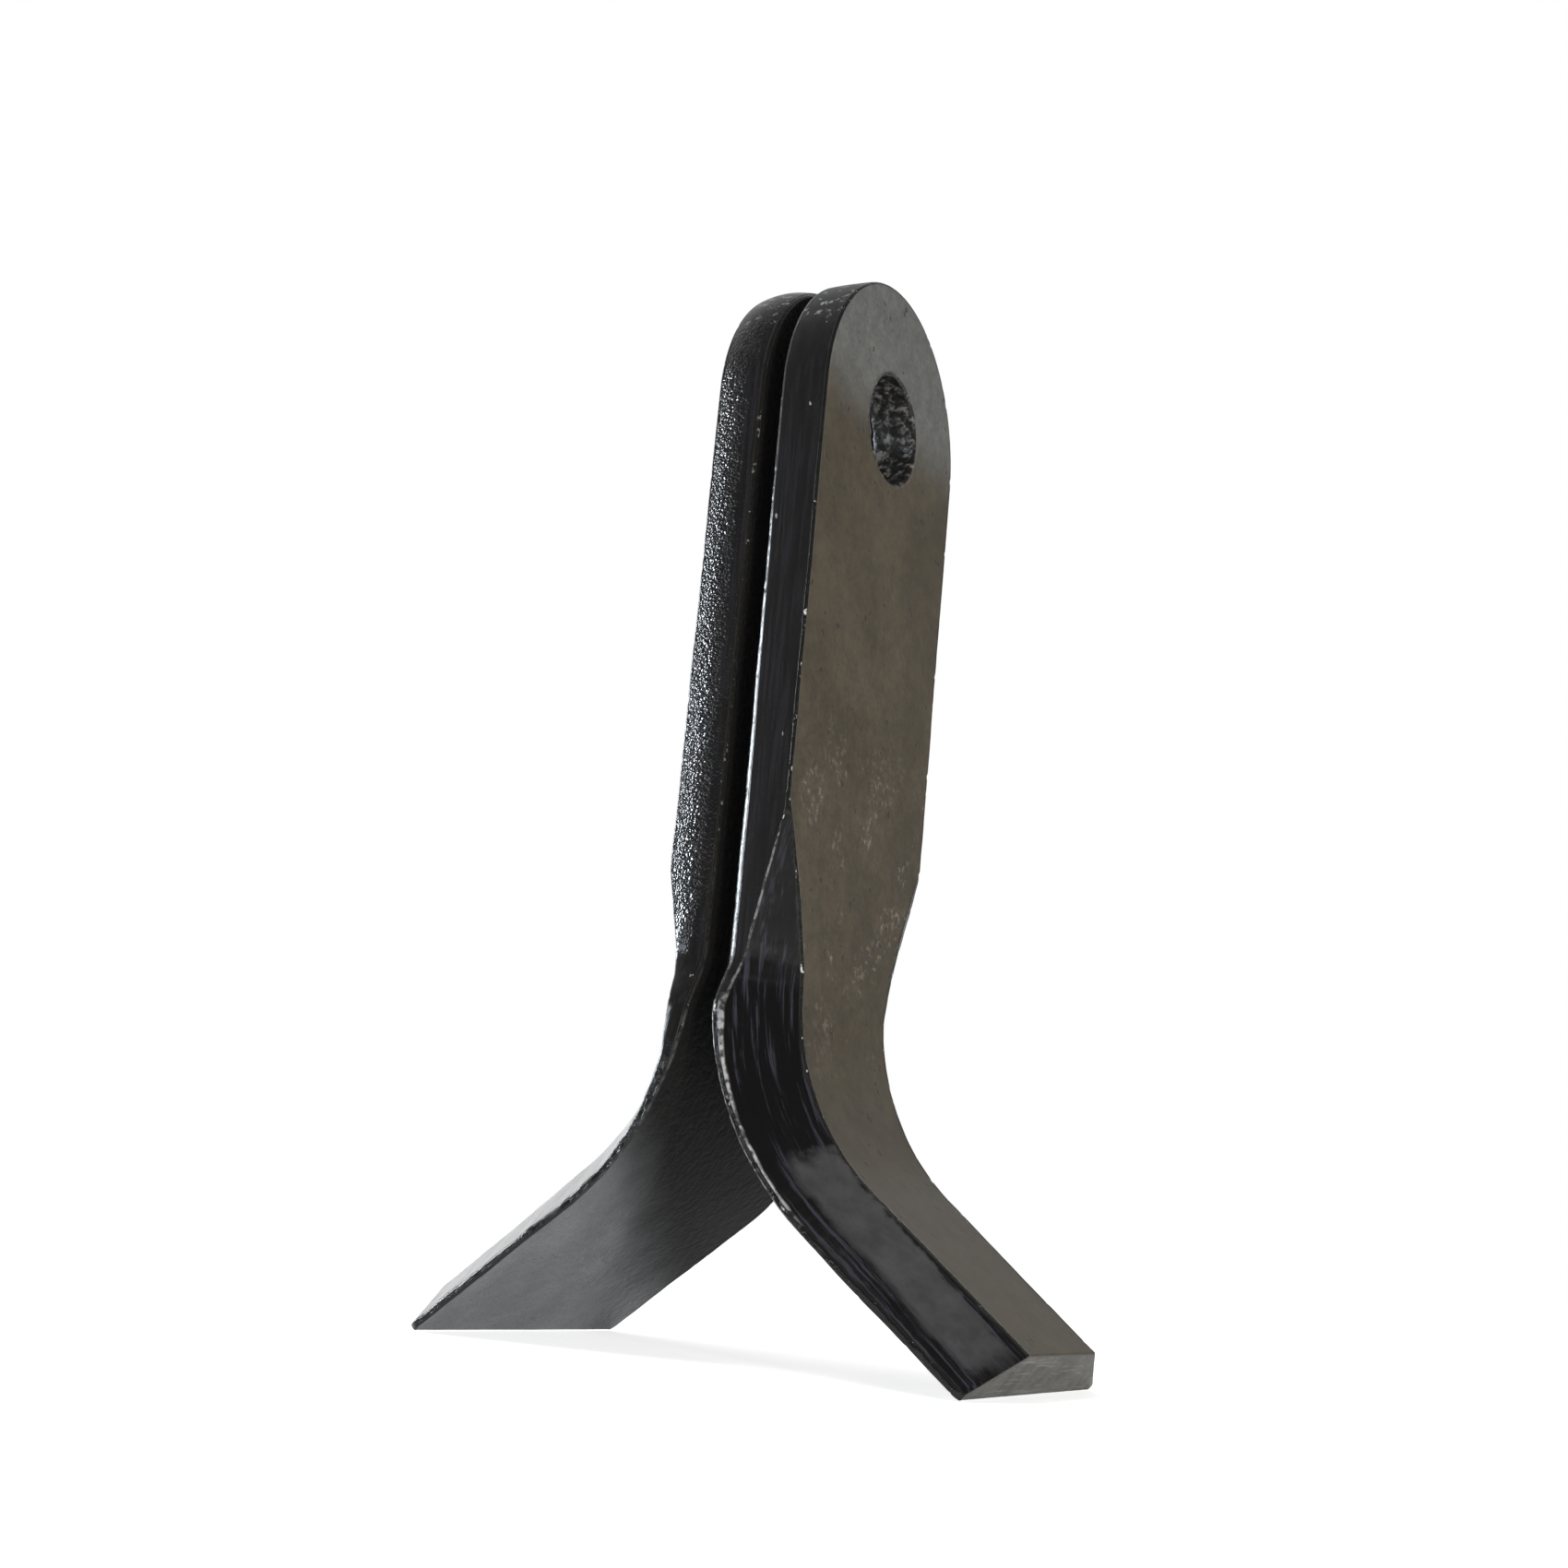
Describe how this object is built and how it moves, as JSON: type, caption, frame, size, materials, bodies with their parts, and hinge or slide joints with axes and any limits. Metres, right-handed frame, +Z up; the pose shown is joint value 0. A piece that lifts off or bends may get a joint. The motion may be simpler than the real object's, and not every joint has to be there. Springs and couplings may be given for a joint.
{
  "type": "flail mower blade pair",
  "caption": "Back-to-back pair of Y-type flail mower blades: bent flat steel bars with rounded pin eyes and bevelled cutting edges, free to swing on one shared pin.",
  "frame": {"origin": "centre of the two pin eyes, midway between the backs of the blades", "axes": "+X along the pin through both eyes, +Y across the width of the bars, +Z up the shanks; the blades stand on the edges of their feet"},
  "size_m": [0.0974, 0.058, 0.1746],
  "materials": {
    "painted_steel": "satin black paint over forged steel, pebbled on the edges"
  },
  "bodies": {
    "right_blade": {"right_blade": "painted_steel"},
    "left_blade": {"left_blade": "painted_steel"}
  },
  "joints": [
    {"name": "left_blade_swing", "type": "hinge", "parent": "right_blade", "child": "left_blade", "pos_m": [0, 0, 0], "axis": [1, 0, 0], "continuous": true}
  ]
}
